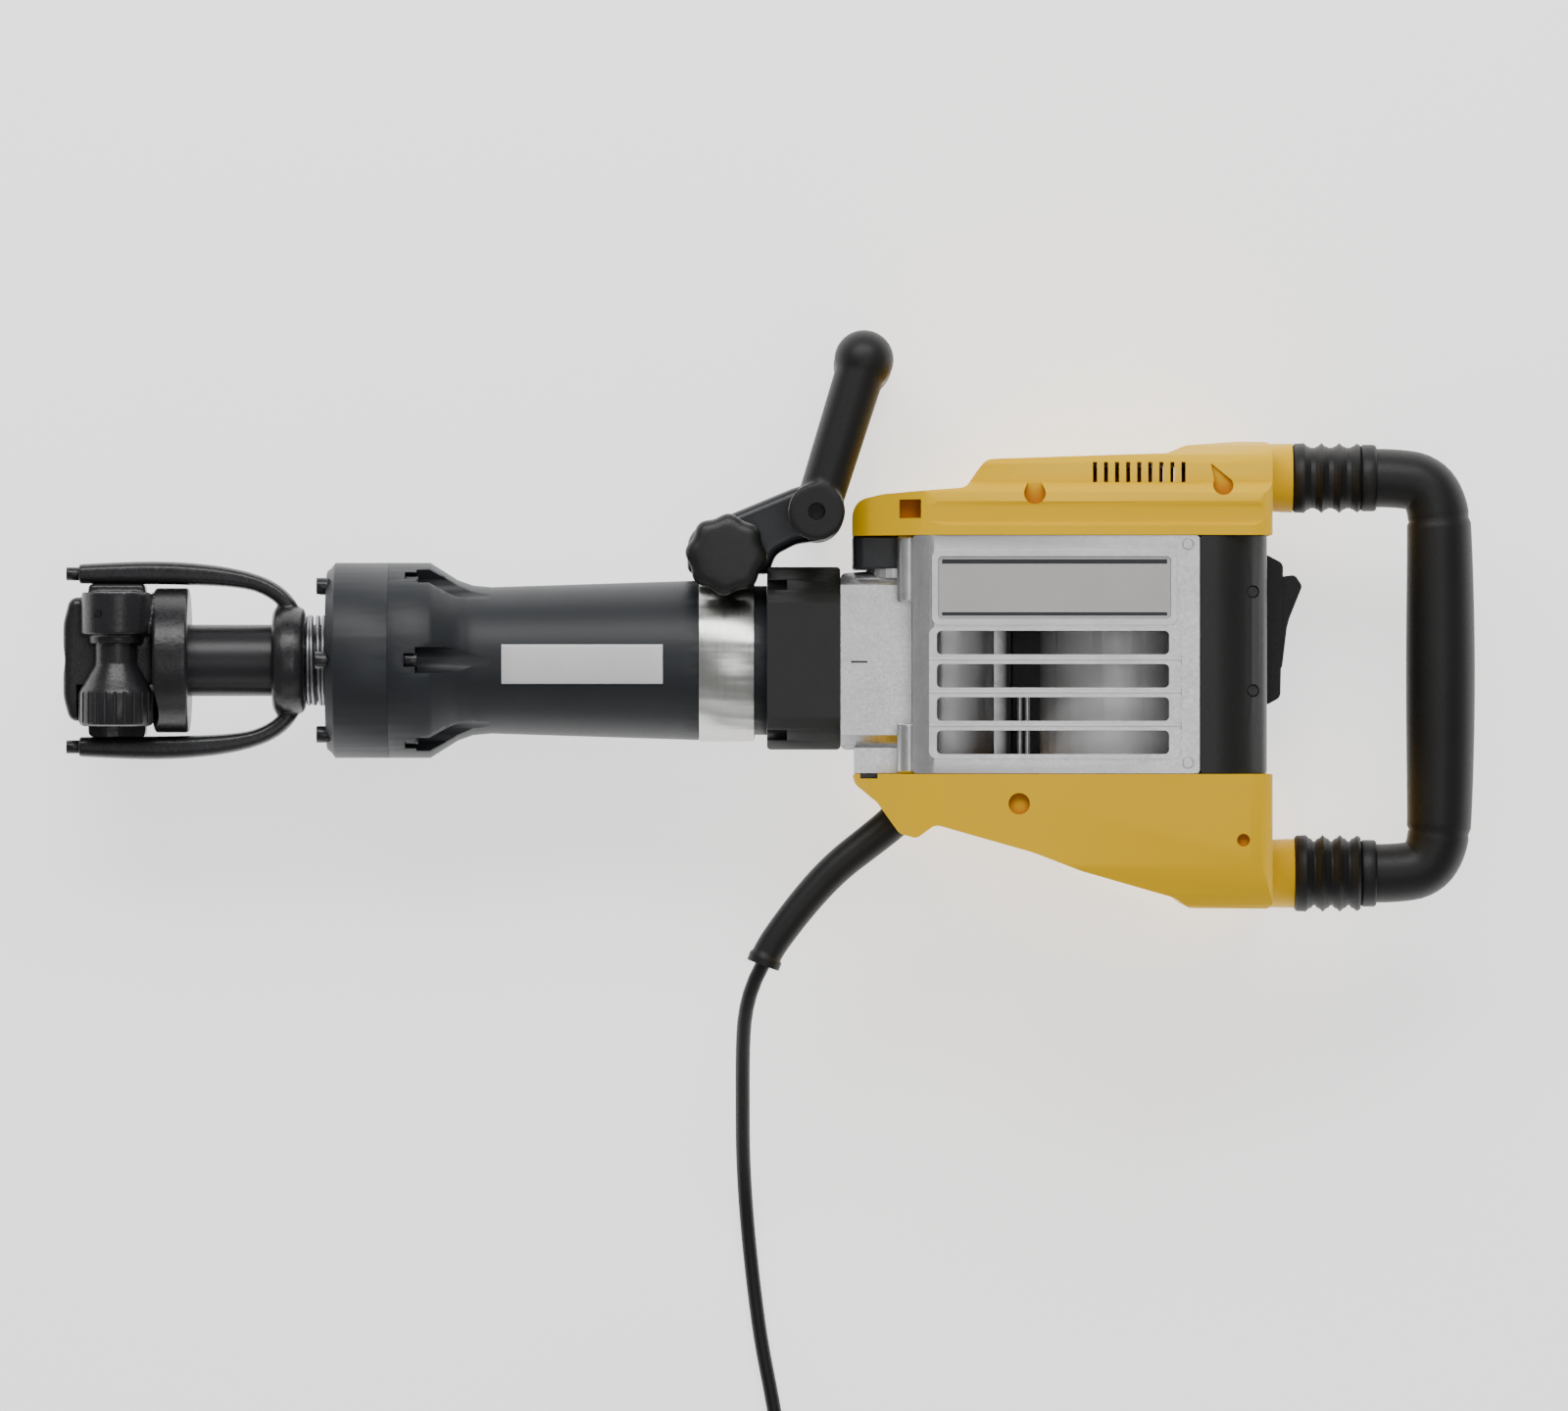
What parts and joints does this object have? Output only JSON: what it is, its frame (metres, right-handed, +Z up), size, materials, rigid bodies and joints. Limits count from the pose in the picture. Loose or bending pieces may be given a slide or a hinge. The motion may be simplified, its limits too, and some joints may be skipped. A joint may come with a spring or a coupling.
{
  "type": "demolition hammer",
  "caption": "Heavy electric demolition hammer with hexagon tool holder, stirrup side handle, sprung rear D-handle, yellow covers and power cord.",
  "frame": {"origin": "on the floor below the middle of the hammer's outline, lying on its far side, without the cord", "axes": "+X from the tool mouth to the rear handle along the hammer's axis, +Y to the side handle, +Z up from the side that it lies on"},
  "size_m": [0.76, 0.7295, 0.164],
  "materials": {
    "forged_steel": "satin",
    "sleeve_steel": "satin",
    "worked_steel": "satin",
    "zinc_steel": "satin",
    "ground_steel": "polished",
    "barrel_paint": "satin",
    "stainless_band": "polished",
    "badge_plate": "satin",
    "silver_plate": "satin",
    "cast_aluminium": "satin",
    "motor_paint": "satin",
    "laminations": "matte",
    "copper": "satin",
    "brass_parts": "satin",
    "bronze_guide": "satin",
    "yellow_plastic": "satin",
    "black_plastic": "satin",
    "black_metal": "satin",
    "soft_rubber": "matte",
    "cord_rubber": "matte"
  },
  "bodies": {
    "tool": {"retainer_spring": "zinc_steel", "tool_sleeve": "sleeve_steel", "nose_cover": "barrel_paint", "nose_seal": "soft_rubber", "flange_bolts": "forged_steel", "barrel": "barrel_paint", "barrel_badge": "badge_plate", "beat_guide": "bronze_guide", "impact_damper": "soft_rubber", "cylinder_liner": "ground_steel", "crank_bearings": "zinc_steel", "crankcase": "cast_aluminium", "gearbox_lid": "cast_aluminium", "motor_tube": "motor_paint", "stator": "laminations", "motor_bracket": "cast_aluminium", "brush_holders": "brass_parts", "side_shell_near": "cast_aluminium", "side_shell_far": "cast_aluminium", "name_plates": "silver_plate", "rear_collar": "black_plastic", "top_cover": "yellow_plastic", "bottom_cover": "yellow_plastic", "rear_cover": "black_plastic", "switch_boot": "soft_rubber", "switch_body": "black_plastic", "bellows": "soft_rubber", "handle_springs": "zinc_steel", "strain_relief": "soft_rubber", "power_cord": "cord_rubber", "cord_coil": "cord_rubber", "cord_tail": "cord_rubber", "cord_tie": "black_plastic", "plug_body": "black_plastic", "plug_pins": "brass_parts"},
    "nose": {"tool_head": "forged_steel", "retainer_yoke": "forged_steel", "retainer_bolts": "forged_steel"},
    "latch": {"lock_pin": "forged_steel"},
    "beat": {"beat_piece": "ground_steel"},
    "ram_body": {"ram": "ground_steel"},
    "piston_body": {"piston": "ground_steel"},
    "rod": {"connecting_rod": "worked_steel", "wrist_pin": "zinc_steel"},
    "crank": {"crankshaft": "worked_steel", "crank_gear": "worked_steel"},
    "idler": {"idler_gear": "worked_steel"},
    "rotor": {"armature": "laminations", "commutator": "copper", "fan": "black_plastic"},
    "rocker": {"switch_rocker": "soft_rubber"},
    "handle": {"main_handle": "soft_rubber", "guide_rods": "zinc_steel"},
    "clamp": {"clamp_band": "stainless_band", "clamp_bolt": "zinc_steel", "stirrup_yoke": "black_metal"},
    "knob": {"clamp_knob": "black_plastic"},
    "stirrup": {"stirrup_frame": "black_metal", "stirrup_grip": "black_plastic", "stirrup_bolts": "zinc_steel"}
  },
  "joints": [
    {"name": "head_slide", "type": "slide", "parent": "tool", "child": "nose", "axis": [1, 0, 0], "range_m": [0, 0.006], "stiffness_N_per_m": 3000, "deforming": ["retainer_spring"]},
    {"name": "lock_turn", "type": "hinge", "parent": "nose", "child": "latch", "pos_m": [-0.351, -0.0203, 0.108], "axis": [0, 1, 0], "range_deg": [0, 180]},
    {"name": "beat_slide", "type": "slide", "parent": "tool", "child": "beat", "axis": [-1, 0, 0], "range_m": [0, 0.008]},
    {"name": "ram_slide", "type": "slide", "parent": "tool", "child": "ram_body", "axis": [-1, 0, 0], "range_m": [0, 0.024]},
    {"name": "piston_slide", "type": "slide", "parent": "tool", "child": "piston_body", "axis": [1, 0, 0], "range_m": [0, 0.028]},
    {"name": "rotor_spin", "type": "hinge", "parent": "tool", "child": "rotor", "pos_m": [0.186, -0.0203, 0.082], "axis": [0, 1, 0], "continuous": true},
    {"name": "idler_spin", "type": "hinge", "parent": "tool", "child": "idler", "pos_m": [0.14475, -0.0203, 0.082], "axis": [0, 1, 0], "continuous": true},
    {"name": "crank_spin", "type": "hinge", "parent": "tool", "child": "crank", "pos_m": [0.096, -0.0203, 0.082], "axis": [0, 1, 0], "continuous": true},
    {"name": "rod_swing", "type": "hinge", "parent": "crank", "child": "rod", "pos_m": [0.082, -0.0203, 0.082], "axis": [0, 1, 0], "continuous": true},
    {"name": "handle_slide", "type": "slide", "parent": "tool", "child": "handle", "axis": [-1, 0, 0], "range_m": [0, 0.01], "stiffness_N_per_m": 6000, "deforming": ["bellows", "handle_springs"]},
    {"name": "rocker_tilt", "type": "hinge", "parent": "tool", "child": "rocker", "pos_m": [0.27, -0.0023, 0.082], "axis": [0, 0, 1], "range_deg": [0, 12]},
    {"name": "clamp_swivel", "type": "hinge", "parent": "tool", "child": "clamp", "pos_m": [-0.0235, -0.0203, 0.082], "axis": [1, 0, 0], "range_deg": [-120, 120]},
    {"name": "knob_turn", "type": "hinge", "parent": "clamp", "child": "knob", "pos_m": [-0.0235, 0.0362, 0.082], "axis": [0, 0, 1], "continuous": true},
    {"name": "stirrup_tilt", "type": "hinge", "parent": "clamp", "child": "stirrup", "pos_m": [0.0248, 0.0589, 0.082], "axis": [0, 0, 1], "range_deg": [0, 95]}
  ],
  "couplings": [
    {"joint": "idler_spin", "follows": "rotor_spin", "ratio": -0.19565},
    {"joint": "crank_spin", "follows": "rotor_spin", "ratio": 0.048913},
    {"joint": "rod_swing", "follows": "rotor_spin", "ratio": -0.048913}
  ]
}
